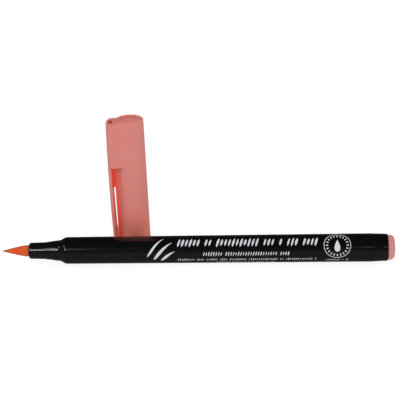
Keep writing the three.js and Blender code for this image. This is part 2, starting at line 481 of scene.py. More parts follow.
blackPlastic = makeMottled("blackPlastic", blackLook)
capPlastic = makeCapPlastic("capPlastic", salmonLook)
plugPlastic = makePlugPlastic("plugPlastic", endPlugLook)
silverInk = makeMottled("silverInk", inkLook)
coreFibre = makeMottled("coreFibre", coreLook)
coreFilm = makeMottled("coreFilm", filmLook)

makeCamera()
makeWorld()
makeFloor()
for lampName, lampValues in lampLook.items():
    makeLamp(lampName, lampValues)
print("camera, floor and light placed")


# Mesh helpers

def evenly(start, end, steps):
    return [start + (end - start) * i / steps for i in range(steps + 1)]


def arcPoints(centre, radius, start, end, steps):
    # points about centre, from one angle to another in degrees
    points = []
    for degrees in evenly(start, end, steps):
        angle = math.radians(degrees)
        points.append((
            centre[0] + radius * math.cos(angle),
            centre[1] + radius * math.sin(angle),
        ))
    return points


def meshFrom(name, work, mergeDistance):
    bmesh.ops.remove_doubles(work, verts=work.verts, dist=mergeDistance)
    bmesh.ops.recalc_face_normals(work, faces=work.faces)
    mesh = bpy.data.meshes.new(name)
    work.to_mesh(mesh)
    work.free()
    return mesh


def finishMesh(name, work, material, sharpAngle=32):
    mesh = meshFrom(name, work, 0.0001 * mm)
    for polygon in mesh.polygons:
        polygon.use_smooth = True
    mesh.set_sharp_from_angle(angle=math.radians(sharpAngle))
    mesh.materials.append(material)
    return addObject(name, mesh)


def loftRings(rings, closed):
    # joins rings of equal length, and the last to the first if closed
    work = bmesh.new()
    rows = [[work.verts.new(point) for point in ring] for ring in rings]
    pairs = list(zip(rows, rows[1:]))
    if closed:
        pairs.append((rows[-1], rows[0]))
    for lower, upper in pairs:
        count = len(lower)
        for i in range(count):
            j = (i + 1) % count
            work.faces.new((lower[i], lower[j], upper[j], upper[i]))
    return work


def turnAlongX(profile, segments, closed, ripple=None):
    # turns (place, radius) pairs in millimetres about the pen's axis
    rings = []
    for place, radius in profile:
        ring = []
        for i in range(segments):
            angle = 2 * math.pi * i / segments
            reach = radius * (ripple(place, angle) if ripple else 1)
            ring.append((
                place * mm,
                penAxis[0] + reach * mm * math.cos(angle),
                penAxis[1] + reach * mm * math.sin(angle),
            ))
        rings.append(ring)
    return loftRings(rings, closed)


# Pen: places along its axis, read from the frame

def nodeSpan(node):
    low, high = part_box(node)
    return low.x / mm, high.x / mm


def nodeRadius(node):
    low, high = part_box(node)
    return (high.z - low.z) / 2 / mm


barrelLow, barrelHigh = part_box("barrel")
penAxis = ((barrelLow.y + barrelHigh.y) / 2, (barrelLow.z + barrelHigh.z) / 2)
tipX = nodeSpan("brush_tip")[0]
mouthX, spigotEndX = nodeSpan("nose_section")
barrelStartX, barrelEndX = nodeSpan("barrel")
plugEndX = nodeSpan("tail_plug")[1]
shankEndX = nodeSpan("nib_shank")[1]
nibRadius = nodeRadius("nib_shank")
barrelFrontRadius = nodeRadius("nose_section")
barrelRearRadius = nodeRadius("barrel")
sleeveRadius = nodeRadius("core_sleeve")

noseLook = {
    "segments": 128,
    "tipLength": 5.4,
    "coneLength": 5.0,
    "shoulderLength": 2.9,
    "shoulderSteps": 18,
    "mouthRadius": 2.82,
    "tipRadius": 2.92,
    "coneRadius": 3.58,
    "edge": 0.6,
    "edgeSteps": 8,
    "bendHalf": 0.3,  # half the length of the bend from the tip to the cone
    "bendDrop": 0.004,
    "bendRise": 0.05,
    "footBack": 0.5,  # the cone's last point before the shoulder, and how far below its radius
    "footDrop": 0.04,
    "boreGap": 0.07,
    "boreChamfer": 0.15,
    "landing": 0.1,  # a straight stretch past the shoulder
    "seam": 0.04,
}
noseFootX = mouthX + noseLook["tipLength"] + noseLook["coneLength"]
noseEndX = noseFootX + noseLook["shoulderLength"] + noseLook["landing"] + noseLook["seam"]


def noseProfile():
    look = noseLook
    bore = nibRadius + look["boreGap"]
    chamfer = look["boreChamfer"]
    edge = look["edge"]
    coneX = mouthX + look["tipLength"]
    profile = [(spigotEndX, bore), (mouthX + chamfer, bore), (mouthX, bore + chamfer)]
    profile += arcPoints((mouthX + edge, look["mouthRadius"] - edge), edge, 180, 90, look["edgeSteps"])
    profile += [
        (coneX - look["bendHalf"], look["tipRadius"] - look["bendDrop"]),
        (coneX + look["bendHalf"], look["tipRadius"] + look["bendRise"]),
        (noseFootX - look["footBack"], look["coneRadius"] - look["footDrop"]),
    ]
    rise = barrelFrontRadius - look["coneRadius"]
    for share in evenly(0, 1, look["shoulderSteps"]):
        lift = (1 - math.cos(math.pi * share)) / 2
        profile.append((noseFootX + look["shoulderLength"] * share, look["coneRadius"] + rise * lift))
    profile += [
        (noseEndX - look["seam"], barrelFrontRadius),
        (noseEndX, barrelFrontRadius - look["seam"]),
        (noseEndX, sleeveRadius),
        (spigotEndX, sleeveRadius),
    ]
    return profile


noseSection = finishMesh(
    "noseSection",
    turnAlongX(noseProfile(), noseLook["segments"], closed=True),
    blackPlastic,
)
print("nose made")

barrelLook = {
    "segments": 128,
    "bodySteps": 40,
    "noseGap": 0.03,
    "tailLength": 4.9,
    "tailStep": 0.08,
    "tailDraft": 0.12,
    "tailEdge": 0.35,
    "edgeSteps": 8,
    "boreGap": 0.06,
    "seam": 0.04,
    "ringWidth": 0.35,
    "ringDepth": 0.03,
    "ringEdge": 0.06,
}
tailX = barrelEndX - barrelLook["tailLength"]
tailRadius = barrelRearRadius - barrelLook["tailStep"]
tailEndRadius = tailRadius - barrelLook["tailDraft"]


def barrelProfile():
    look = barrelLook
    bore = sleeveRadius + look["boreGap"]
    startX = noseEndX + look["noseGap"]
    frontX = startX + look["seam"]
    edge = look["tailEdge"]
    ringRadius = tailRadius - look["ringDepth"]
    ringEndX = tailX + look["ringWidth"]
    profile = [(startX, bore), (startX, barrelFrontRadius - look["seam"])]
    for share in evenly(0, 1, look["bodySteps"]):
        radius = barrelFrontRadius + (barrelRearRadius - barrelFrontRadius) * share
        profile.append((frontX + (tailX - frontX) * share, radius))
    profile += [
        (tailX + look["ringEdge"], ringRadius),
        (ringEndX, ringRadius),
        (ringEndX + look["ringEdge"], tailRadius),
    ]
    profile += arcPoints((barrelEndX - edge, tailEndRadius - edge), edge, 90, 0, look["edgeSteps"])
    profile.append((barrelEndX, bore))
    return profile


barrelTube = finishMesh(
    "barrelTube",
    turnAlongX(barrelProfile(), barrelLook["segments"], closed=True),
    blackPlastic,
)
print("barrel made")

plugLook = {
    "segments": 128,
    "headInset": 0.32,
    "draft": 0.1,
    "edge": 1.4,
    "edgeSteps": 14,
    "seam": 0.06,
    "spigotLength": 6.0,
    "gateRadius": 0.55,
    "gateDepth": 0.12,
    "gateSlope": 0.15,
    "bead": 0.06,
}


def plugProfile():
    look = plugLook
    head = tailEndRadius - look["headInset"]
    headX = barrelEndX + look["seam"]
    spigotX = barrelEndX - look["spigotLength"]
    edge = look["edge"]
    gate = look["gateRadius"]
    gateX = plugEndX - look["gateDepth"]
    profile = [(spigotX, 0.0), (spigotX, sleeveRadius), (headX, sleeveRadius)]
    profile += [(headX, head - look["bead"]), (headX + look["bead"], head)]
    profile += arcPoints((plugEndX - edge, head - look["draft"] - edge), edge, 90, 0, look["edgeSteps"])
    profile += [(plugEndX, gate + look["gateSlope"]), (gateX, gate), (gateX, 0.0)]
    return profile


tailPlug = finishMesh(
    "tailPlug",
    turnAlongX(plugProfile(), plugLook["segments"], closed=False),
    plugPlastic,
)
print("tail plug made")

nibLook = {
    "segments": 96,
    "taperLength": 8.0,
    "taperSteps": 60,
    "pointRadius": 0.16,
    "pointSlope": (0.3, 0.7),  # the rounded point's middle, in shares of its radius
    "bulge": 0.09,
    "straightSteps": 16,
    "straightPast": 3.0,  # how far into the nose the finely divided stretch goes
    "ridges": 23,
    "fineRidges": 39,
    "fineShare": 0.6,
    "ridgeDepth": 0.006,
    "ridgeWander": (1.7, 3),  # radians, and waves round the nib
    "fineTurn": 1.3,  # radians for each millimetre along it
    "grindEnd": 0.64,  # share of the taper where the grinding fades into the rod
    "grindShape": (1.4, 0.1),  # its depth follows half a wave, stretched and shifted by these
    "rodRidges": 0.4,
    "tailRadius": 1.2,
    "tailLength": 7.0,
    "tailStep": 0.1,
    "pointLength": 1.6,
}


def nibRipple(place, angle):
    # shallow grooves left by grinding the point from a fibre rod
    look = nibLook
    share = max(0.0, (place - tipX) / look["taperLength"])
    wander, waves = look["ridgeWander"]
    wave = math.sin(look["ridges"] * angle + wander * math.sin(waves * angle + place))
    wave += look["fineShare"] * math.sin(look["fineRidges"] * angle - place * look["fineTurn"])
    depth = look["rodRidges"]
    if share < look["grindEnd"]:
        stretch, shift = look["grindShape"]
        depth = math.sqrt(math.sin(math.pi * (share * stretch + shift)))
    return 1 + look["ridgeDepth"] * wave * depth


def nibProfile():
    look = nibLook
    point = look["pointRadius"]
    along, out = look["pointSlope"]
    profile = [(tipX, 0.0), (tipX + point * along, point * out)]
    for share in evenly(0, 1, look["taperSteps"]):
        radius = point + (nibRadius - point) * share + look["bulge"] * math.sin(math.pi * share)
        profile.append((tipX + point + (look["taperLength"] - point) * share, radius))
    straight = evenly(tipX + look["taperLength"], mouthX + look["straightPast"], look["straightSteps"])
    profile += [(place, nibRadius) for place in straight[1:]]
    stepX = shankEndX - look["tailLength"]
    profile += [
        (stepX, nibRadius),
        (stepX + look["tailStep"], look["tailRadius"]),
        (shankEndX - look["pointLength"], look["tailRadius"]),
        (shankEndX, 0.0),
    ]
    return profile


brushNib = finishMesh(
    "brushNib",
    turnAlongX(nibProfile(), nibLook["segments"], closed=False, ripple=nibRipple),
    makeFelt("nibFelt", feltLook, tipX, mouthX),
    sharpAngle=50,
)
print("nib made")


# Printed marks: flat in x and y with their thickness in z, then wrapped round the barrel

wrapSizes = {
    "Front": barrelStartX * mm,
    "Rear": tailX * mm,
    "Front Radius": barrelFrontRadius * mm,
    "Rear Radius": barrelRearRadius * mm,
    "Axis Y": penAxis[0],
    "Axis Z": penAxis[1],
}
inkSink = 0.02
inkRise = 0.025


def newPrintTree(name, floats=(), integers=()):
    tree = bpy.data.node_groups.new(name, "GeometryNodeTree")
    addSockets(tree, "Geometry", ["Geometry"])
    addSockets(tree, "Float", [*wrapSizes, "Angle", *floats])
    addSockets(tree, "Int", integers)
    addSockets(tree, "Material", ["Ink"])
    addSockets(tree, "Geometry", ["Geometry"], "OUTPUT")
    return tree, addNode(tree, "NodeGroupInput").outputs


def makeWrapGroup():
    # turns x, y, z into a place along the barrel, an arc round it and a rise from it
    tree = bpy.data.node_groups.new("wrapOnBarrel", "GeometryNodeTree")
    addSockets(tree, "Geometry", ["Geometry"])
    addSockets(tree, "Float", [*wrapSizes, "Angle"])
    addSockets(tree, "Geometry", ["Geometry"], "OUTPUT")
    inside = addNode(tree, "NodeGroupInput").outputs
    place = splitVector(tree, addNode(tree, "GeometryNodeInputPosition").outputs[0])
    radius = addNode(tree, "ShaderNodeMapRange", {
        "Value": place["X"],
        "From Min": inside["Front"],
        "From Max": inside["Rear"],
        "To Min": inside["Front Radius"],
        "To Max": inside["Rear Radius"],
    }, clamp=False).outputs[0]
    turn = mathNode(tree, "ADD", mathNode(tree, "DIVIDE", place["Y"], radius), inside["Angle"])
    reach = mathNode(tree, "ADD", radius, place["Z"])
    forward = mathNode(tree, "MULTIPLY", reach, mathNode(tree, "COSINE", turn))
    upward = mathNode(tree, "MULTIPLY", reach, mathNode(tree, "SINE", turn))
    wrapped = joinVector(
        tree,
        place["X"],
        mathNode(tree, "SUBTRACT", inside["Axis Y"], forward),
        mathNode(tree, "ADD", inside["Axis Z"], upward),
    )
    moved = addNode(tree, "GeometryNodeSetPosition", {
        "Geometry": inside["Geometry"],
        "Position": wrapped,
    })
    addNode(tree, "NodeGroupOutput", {0: moved.outputs[0]})
    return tree


wrapGroup = makeWrapGroup()


def finishPrintTree(tree, inside, geometry):
    # realises, wraps and inks the geometry, and sends it out
    real = addNode(tree, "GeometryNodeRealizeInstances", {0: geometry})
    wrap = addNode(tree, "GeometryNodeGroup", {
        "Geometry": real.outputs[0],
        **{name: inside[name] for name in [*wrapSizes, "Angle"]},
    }, node_tree=wrapGroup)
    inked = addNode(tree, "GeometryNodeSetMaterial", {
        "Geometry": wrap.outputs[0],
        "Material": inside["Ink"],
    })
    addNode(tree, "NodeGroupOutput", {0: inked.outputs[0]})


def addDab(tree, columns, rows):
    # a closed oval slab, one unit long, wide and thick
    grid = addNode(tree, "GeometryNodeMeshGrid", {
        "Size X": 2.0,
        "Size Y": 2.0,
        "Vertices X": columns,
        "Vertices Y": rows,
    })
    place = splitVector(tree, addNode(tree, "GeometryNodeInputPosition").outputs[0])

    def rounded(along, across):
        # squeezes the square into a disc one unit across
        half = mathNode(tree, "MULTIPLY", mathNode(tree, "POWER", across, 2.0), 0.5)
        shrink = mathNode(tree, "SQRT", mathNode(tree, "SUBTRACT", 1.0, half))
        return mathNode(tree, "MULTIPLY", mathNode(tree, "MULTIPLY", along, shrink), 0.5)

    shaped = addNode(tree, "GeometryNodeSetPosition", {
        "Geometry": grid.outputs["Mesh"],
        "Position": joinVector(
            tree, rounded(place["X"], place["Y"]), rounded(place["Y"], place["X"])
        ),
    }).outputs[0]
    raised = addNode(tree, "GeometryNodeExtrudeMesh", {
        "Mesh": shaped,
        "Offset Scale": 1.0,
        "Individual": False,
    }, mode="FACES")
    under = addNode(tree, "GeometryNodeFlipFaces", {0: shaped})
    both = addNode(tree, "GeometryNodeJoinGeometry")
    for half in (raised, under):
        tree.links.new(half.outputs["Mesh"], both.inputs[0])
    merged = addNode(tree, "GeometryNodeMergeByDistance", {0: both.outputs[0], "Distance": 0.0001})
    return merged.outputs[0]


def randomBetween(tree, low, high, seed, offset):
    return addNode(tree, "FunctionNodeRandomValue", {
        2: low,
        3: high,
        "Seed": mathNode(tree, "ADD", seed, offset),
    }, data_type="FLOAT").outputs[1]


def spreadDabs(tree, inside, points, turn, size):
    return addNode(tree, "GeometryNodeInstanceOnPoints", {
        "Points": points,
        "Instance": addDab(tree, inside["Columns"], inside["Rows"]),
        "Rotation": joinVector(tree, z=turn),
        "Scale": joinVector(tree, *size),
    }).outputs[0]


def makeRowTree():
    # a line of upright dabs with gaps left out of it
    tree, inside = newPrintTree(
        "printedRow",
        ["Start", "Pitch", "Thin", "Thick", "Short", "Tall", "Slant", "Gap Share", "Sink", "Ink Depth"],
        ["Count", "Columns", "Rows", "Seed"],
    )
    sunk = mathNode(tree, "MULTIPLY", inside["Sink"], -1.0)
    line = addNode(tree, "GeometryNodeMeshLine", {
        "Count": inside["Count"],
        "Start Location": joinVector(tree, inside["Start"], z=sunk),
        "Offset": joinVector(tree, inside["Pitch"]),
    }, mode="OFFSET", count_mode="TOTAL")
    gap = addNode(tree, "FunctionNodeRandomValue", {
        "Probability": inside["Gap Share"],
        "Seed": inside["Seed"],
    }, data_type="BOOLEAN")
    kept = addNode(tree, "GeometryNodeDeleteGeometry", {
        "Geometry": line.outputs[0],
        "Selection": gap.outputs[3],
    }, domain="POINT")
    size = (
        randomBetween(tree, inside["Thin"], inside["Thick"], inside["Seed"], 1.0),
        randomBetween(tree, inside["Short"], inside["Tall"], inside["Seed"], 2.0),
        inside["Ink Depth"],
    )
    turn = mathNode(tree, "MULTIPLY", inside["Slant"], -1.0)
    finishPrintTree(tree, inside, spreadDabs(tree, inside, kept.outputs[0], turn, size))
    return tree


def makeRaysTree():
    # dabs set round a circle, each pointing at its middle
    tree, inside = newPrintTree(
        "printedRays",
        ["Middle", "Reach", "Width", "Length", "Sink", "Ink Depth"],
        ["Count", "Columns", "Rows"],
    )
    circle = addNode(tree, "GeometryNodeMeshCircle", {
        "Vertices": inside["Count"],
        "Radius": inside["Reach"],
    })
    index = addNode(tree, "GeometryNodeInputIndex").outputs[0]
    share = mathNode(tree, "DIVIDE", index, inside["Count"])
    turn = mathNode(tree, "MULTIPLY", share, 2 * math.pi)
    size = (inside["Length"], inside["Width"], inside["Ink Depth"])
    rays = spreadDabs(tree, inside, circle.outputs[0], turn, size)
    real = addNode(tree, "GeometryNodeRealizeInstances", {0: rays})
    sunk = mathNode(tree, "MULTIPLY", inside["Sink"], -1.0)
    moved = addNode(tree, "GeometryNodeSetPosition", {
        "Geometry": real.outputs[0],
        "Offset": joinVector(tree, inside["Middle"], z=sunk),
    })
    finishPrintTree(tree, inside, moved.outputs[0])
    return tree


def makeShapeTree():
    # wraps a shape that is already made
    tree, inside = newPrintTree("printedShape")
    finishPrintTree(tree, inside, inside["Geometry"])
    return tree


rowTree = makeRowTree()
raysTree = makeRaysTree()
shapeTree = makeShapeTree()


def runTree(name, tree, values, mesh=None):
    # gives the tree's result as a plain mesh on an object of its own
    source = addObject("source", mesh or bpy.data.meshes.new("source"))
    modifier = source.modifiers.new("nodes", "NODES")
    modifier.node_group = tree
    for item in tree.interface.items_tree:
        if item.in_out == "INPUT" and item.name in values:
            modifier[item.identifier] = values[item.name]
    graph = bpy.context.evaluated_depsgraph_get()
    made = bpy.data.meshes.new_from_object(source.evaluated_get(graph))
    source.modifiers.remove(modifier)
    bpy.data.objects.remove(source)
    made.name = name
    return addObject(name, made)


def slab(rows, closed):
    # a grid of flat places in metres made a thin closed slab; closed joins each row's ends
    work = bmesh.new()
    lower, upper = (
        [[work.verts.new((x, y, height * mm)) for x, y in row] for row in rows]
        for height in (-inkSink, inkRise)
    )
    columns = len(rows[0])
    sides = [(j, (j + 1) % columns) for j in range(columns if closed else columns - 1)]
    for i in range(len(rows) - 1):
        for j, k in sides:
            work.faces.new((lower[i][j], lower[i + 1][j], lower[i + 1][k], lower[i][k]))
            work.faces.new((upper[i][j], upper[i][k], upper[i + 1][k], upper[i + 1][j]))
    for i in (0, len(rows) - 1):
        for j, k in sides:
            work.faces.new((lower[i][j], lower[i][k], upper[i][k], upper[i][j]))
    for j in () if closed else (0, columns - 1):
        for i in range(len(rows) - 1):
            work.faces.new((lower[i][j], lower[i + 1][j], upper[i + 1][j], upper[i][j]))
    return meshFrom("slab", work, 0.001 * mm)


def printValues(look):
    return {
        **wrapSizes,
        "Angle": math.radians(look["angle"]),
        "Ink": silverInk,
        "Sink": inkSink * mm,
        "Ink Depth": (inkSink + inkRise) * mm,
    }


rowSlant = 16.0  # degrees
rowLook = {
    # places and sizes in millimetres, angles in degrees up from the side
    "titleRow": {
        "angle": 54.0, "start": 38.85, "end": 85.75, "pitch": 1.34, "thin": 0.56, "thick": 0.82,
        "short": 2.3, "tall": 3.5, "gapShare": 0.13, "seed": 4, "columns": 4, "rows": 8,
    },
    "secondRow": {
        "angle": 5.0, "start": 47.45, "end": 77.15, "pitch": 0.85, "thin": 0.26, "thick": 0.4,
        "short": 1.1, "tall": 1.9, "gapShare": 0.14, "seed": 9, "columns": 3, "rows": 5,
    },
    "thirdRow": {
        "angle": -23.0, "start": 38.65, "end": 85.75, "pitch": 0.66, "thin": 0.2, "thick": 0.31,
        "short": 0.75, "tall": 1.25, "gapShare": 0.15, "seed": 12, "columns": 3, "rows": 4,
    },
    "fourthRow": {
        "angle": -44.0, "start": 51.85, "end": 72.05, "pitch": 0.6, "thin": 0.18, "thick": 0.28,
        "short": 0.7, "tall": 1.0, "gapShare": 0.15, "seed": 21, "columns": 3, "rows": 4,
    },
    "badgeRow": {
        "angle": -30.0, "start": 89.25, "end": 96.45, "pitch": 0.6, "thin": 0.18, "thick": 0.28,
        "short": 0.7, "tall": 1.0, "gapShare": 0.12, "seed": 33, "columns": 3, "rows": 4,
    },
}


def makeRow(name, look):
    values = printValues(look)
    for size in ("pitch", "thin", "thick", "short", "tall"):
        values[size.capitalize()] = look[size] * mm
    values.update({
        "Start": (barrelStartX + look["start"]) * mm,
        "Slant": math.radians(rowSlant),
        "Gap Share": look["gapShare"],
        "Count": int((look["end"] - look["start"]) / look["pitch"]) + 1,
        "Columns": look["columns"],
        "Rows": look["rows"],
        "Seed": look["seed"],
    })
    return runTree(name, rowTree, values)


badgeLook = {
    "middle": 92.85,
    "angle": 37.0,
    "ringOuter": 4.6,
    "ringInner": 4.4,
    "ringSteps": 3,
    "ringColumns": 96,
    "rays": 20,
    "rayReach": 3.5,
    "rayLength": 0.9,
    "rayWidth": 0.42,
    "rayColumns": 5,
    "rayRows": 3,
    "dropWidth": 1.35,
    "dropHeight": 2.1,
    "dropPinch": 1.3,
    "dropFall": 0.15,
    "dropSteps": 6,
    "dropColumns": 48,
}


def roundRows(middle, outline, shares, columns):
    # rows of places round middle: outline gives a place for each turn and share
    rows = []
    for share in shares:
        places = [outline(2 * math.pi * j / columns, share) for j in range(columns)]
        rows.append([((middle + x) * mm, y * mm) for x, y in places])
    return rows


def ringPlace(turn, radius):
    return radius * math.cos(turn), radius * math.sin(turn)


def dropPlace(turn, share):
    # a drop of ink with its point upwards
    look = badgeLook
    across = look["dropWidth"] * math.sin(turn) * math.sin(turn / 2) ** look["dropPinch"]
    return across * share, look["dropHeight"] * math.cos(turn) * share - look["dropFall"]


def makeBadge():
    look = badgeLook
    middle = barrelStartX + look["middle"]
    values = printValues(look)
    radii = evenly(look["ringInner"], look["ringOuter"], look["ringSteps"])
    ring = roundRows(middle, ringPlace, radii, look["ringColumns"])
    drop = roundRows(middle, dropPlace, evenly(0, 1, look["dropSteps"]), look["dropColumns"])
    made = [
        runTree("badgeRing", shapeTree, values, slab(ring, closed=True)),
        runTree("badgeDrop", shapeTree, values, slab(drop, closed=True)),
    ]
    values.update({
        "Middle": middle * mm,
        "Reach": look["rayReach"] * mm,
        "Width": look["rayWidth"] * mm,
        "Length": look["rayLength"] * mm,
        "Count": look["rays"],
        "Columns": look["rayColumns"],
        "Rows": look["rayRows"],
    })
    made.append(runTree("badgeRays", raysTree, values))
    return made


strokeLook = {
    "angle": 26.0,
    # each stroke's spine, in millimetres along the barrel and round it, and its widest half
    "strokes": [
        {"spine": [(27.95, -2.6), (29.45, -0.6), (30.95, 2.2), (33.65, 4.1)], "half": 0.37},
        {"spine": [(30.15, -3.9), (31.65, -1.9), (33.35, 0.6), (36.55, 2.4)], "half": 0.5},
        {"spine": [(32.65, -4.3), (33.95, -3.1), (35.25, -1.7), (37.45, -0.7)], "half": 0.44},
    ],
    "lean": 0.7,  # below 1, the widest place comes earlier
    "fullness": 0.8,  # below 1, the ends are blunter
    "thinnest": 0.01,
    "steps": 28,
    "across": 4,
}


def curvePoint(spine, share):
    a, b, c, d = (Vector(point) for point in spine)
    rest = 1 - share
    return a * rest ** 3 + b * 3 * rest * rest * share + c * 3 * rest * share * share + d * share ** 3


def makeStrokes():
    look = strokeLook
    front = Vector((barrelStartX, 0))
    nudge = 0.01  # of the spine, to each side, for its direction
    made = []
    for number, stroke in enumerate(look["strokes"], 1):
        spine = stroke["spine"]
        rows = []
        for share in evenly(0, 1, look["steps"]):
            middle = front + curvePoint(spine, share)
            ahead = curvePoint(spine, share + nudge) - curvePoint(spine, share - nudge)
            side = Vector((-ahead.y, ahead.x)).normalized()
            swell = math.sin(math.pi * share ** look["lean"]) ** look["fullness"]
            side *= stroke["half"] * swell + look["thinnest"]
            rows.append([tuple((middle + side * i) * mm) for i in evenly(-1, 1, look["across"])])
        mesh = slab(rows, closed=False)
        made.append(runTree("brushStroke%d" % number, shapeTree, printValues(look), mesh))
    return made


printedMarks = [makeRow(name, look) for name, look in rowLook.items()]
printedMarks += makeBadge()
printedMarks += makeStrokes()
print("printed marks made:", len(printedMarks))


# Cap: its places count out towards the clip, across and up, from the foot of its axis

linerLow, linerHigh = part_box("inner_cap")
shellLow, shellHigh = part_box("cap_shell")
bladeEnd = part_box("clip_arm")[0].z / mm
capAxis = Vector(((linerLow.x + linerHigh.x) / 2, (linerLow.y + linerHigh.y) / 2, 0))
flexAxis = Vector(joints["clip_flex"]["axis"])
clipOut = Vector((-flexAxis.y, flexAxis.x, 0))  # from the cap's axis towards the clip
capHeight = shellHigh.z / mm
capMouthRadius = (shellHigh.y - shellLow.y) / 2 / mm
hingeHeight = joints["clip_flex"]["pos_m"][2] / mm


def capPoint(out, across, height):
    # such a place, in millimetres, as one of the scene's, in metres
    return capAxis + clipOut * out * mm + flexAxis * across * mm + Vector((0, 0, height * mm))


capLook = {
    "draft": 0.12,
    "topEdge": 0.45,
    "mouthEdge": 0.2,
    "edgeSteps": 4,
    "topSteps": 6,
    "rimWidth": 1.5,
    "dishDepth": 0.7,
    "dishFillet": 0.3,
    "boreRadius": 4.0,
    "boreStep": 24.0,
    "upperBore": 3.3,
    "topThickness": 1.6,
    "gateRadius": 0.55,
    "gateSlope": 0.1,
    "gateHeight": 0.12,
    "landReach": 6.16,
    "landBottom": 3.0,
    "landHalf": 1.6,
    "landEdge": 0.2,
    "landCorner": 0.2,
    "landLevels": 22,
    "clipReach": 8.3,
    "clipBow": 0.3,  # how far its outer face draws back at its ends
    "bowMiddle": 25.0,
    "bowHalf": 23.0,
    "blockHalf": 4.1,
    "blockFace": 7.0,  # radius of the clip's outer face
    "blockCorner": 1.0,
    "blockBottom": 32.45,
    "blockDrop": 0.55,
    "blockEdge": 0.5,
    "blockLevels": 14,
    "fillet": 0.9,
    "pocketInner": 5.75,
    "pocketOuter": 7.2,
    "pocketHalf": 15.0,  # degrees, as the turns below
    "pocketDepth": 3.0,
    "pocketSlope": 0.995,  # the floor's share of the pocket's angle
    "fineTurn": 0.75,
    "fineHalf": 49.5,
    "wideTurn": 3,
}
blockTop = capHeight - capLook["blockDrop"]


def clipReach(height):
    # the clip's outer face bows out a little, half way down
    look = capLook
    return look["clipReach"] - look["clipBow"] * ((height - look["bowMiddle"]) / look["bowHalf"]) ** 2


def bodyRadius(height):
    edge = capLook["topEdge"]
    radius = capMouthRadius - capLook["draft"] * height / capHeight
    past = height - (capHeight - edge)
    if past > 0:
        radius -= edge - math.sqrt(max(0.0, edge * edge - past * past))
    return radius


def landRadius(angle, inset):
    # distance to the land's outline, a rounded box, along a ray from the cap's axis
    look = capLook
    angle = abs(angle)
    if angle >= math.pi / 2:
        return 0.0
    reach = look["landReach"] - inset
    half = look["landHalf"] - inset
    corner = look["landCorner"]
    if math.tan(angle) * reach <= half - corner:
        return reach / math.cos(angle)
    if half / math.tan(angle) <= reach - corner:
        return half / math.sin(angle)
    u, v = reach - corner, half - corner
    along = u * math.cos(angle) + v * math.sin(angle)
    off = u * u + v * v - corner * corner
    return along + math.sqrt(max(0.0, along * along - off))


def blockRadius(angle, height, inset):
    # the same for the block, whose outer face is a wide arc
    look = capLook
    angle = abs(angle)
    if angle >= math.pi / 2:
        return 0.0
    face = look["blockFace"]
    centre = clipReach(height) - inset - face
    along = centre * math.cos(angle)
    arc = along + math.sqrt(max(0.0, along * along - centre * centre + face * face))
    side = (look["blockHalf"] - inset) / max(math.sin(angle), 1e-6)
    return -smoothMost(-arc, -side, look["blockCorner"])


def smoothMost(a, b, width):
    overlap = max(0.0, width - abs(a - b)) / width
    return max(a, b) + overlap * overlap * width / 4


def outlineRadius(angle, height, landInset, blockInset):
    radius = bodyRadius(height)
    fillet = capLook["fillet"]
    if landInset is not None:
        radius = smoothMost(radius, landRadius(angle, landInset), fillet)
    if blockInset is not None:
        radius = smoothMost(radius, blockRadius(angle, height, blockInset), fillet)
    return radius


def edgeInsets(edge, steps):
    # (distance from the end, inset) pairs of a rounded edge, from the end inwards
    quarter = [math.radians(degrees) for degrees in evenly(0, 90, steps)]
    return [(edge * (1 - math.cos(turn)), edge * (1 - math.sin(turn))) for turn in quarter]


def capAngles():
    # wide turns round the back, fine ones round the clip, and a pair at each side of the pocket
    look = capLook
    fine = round(look["fineHalf"] / look["fineTurn"])
    degrees = [look["fineTurn"] * i for i in range(-fine, fine + 1)]
    degrees += [turn for turn in range(-180, 180, look["wideTurn"]) if abs(turn) > look["fineHalf"]]
    for side in (-look["pocketHalf"], look["pocketHalf"]):
        degrees += [side, side * look["pocketSlope"]]
    return [math.radians(turn) for turn in sorted(degrees)]


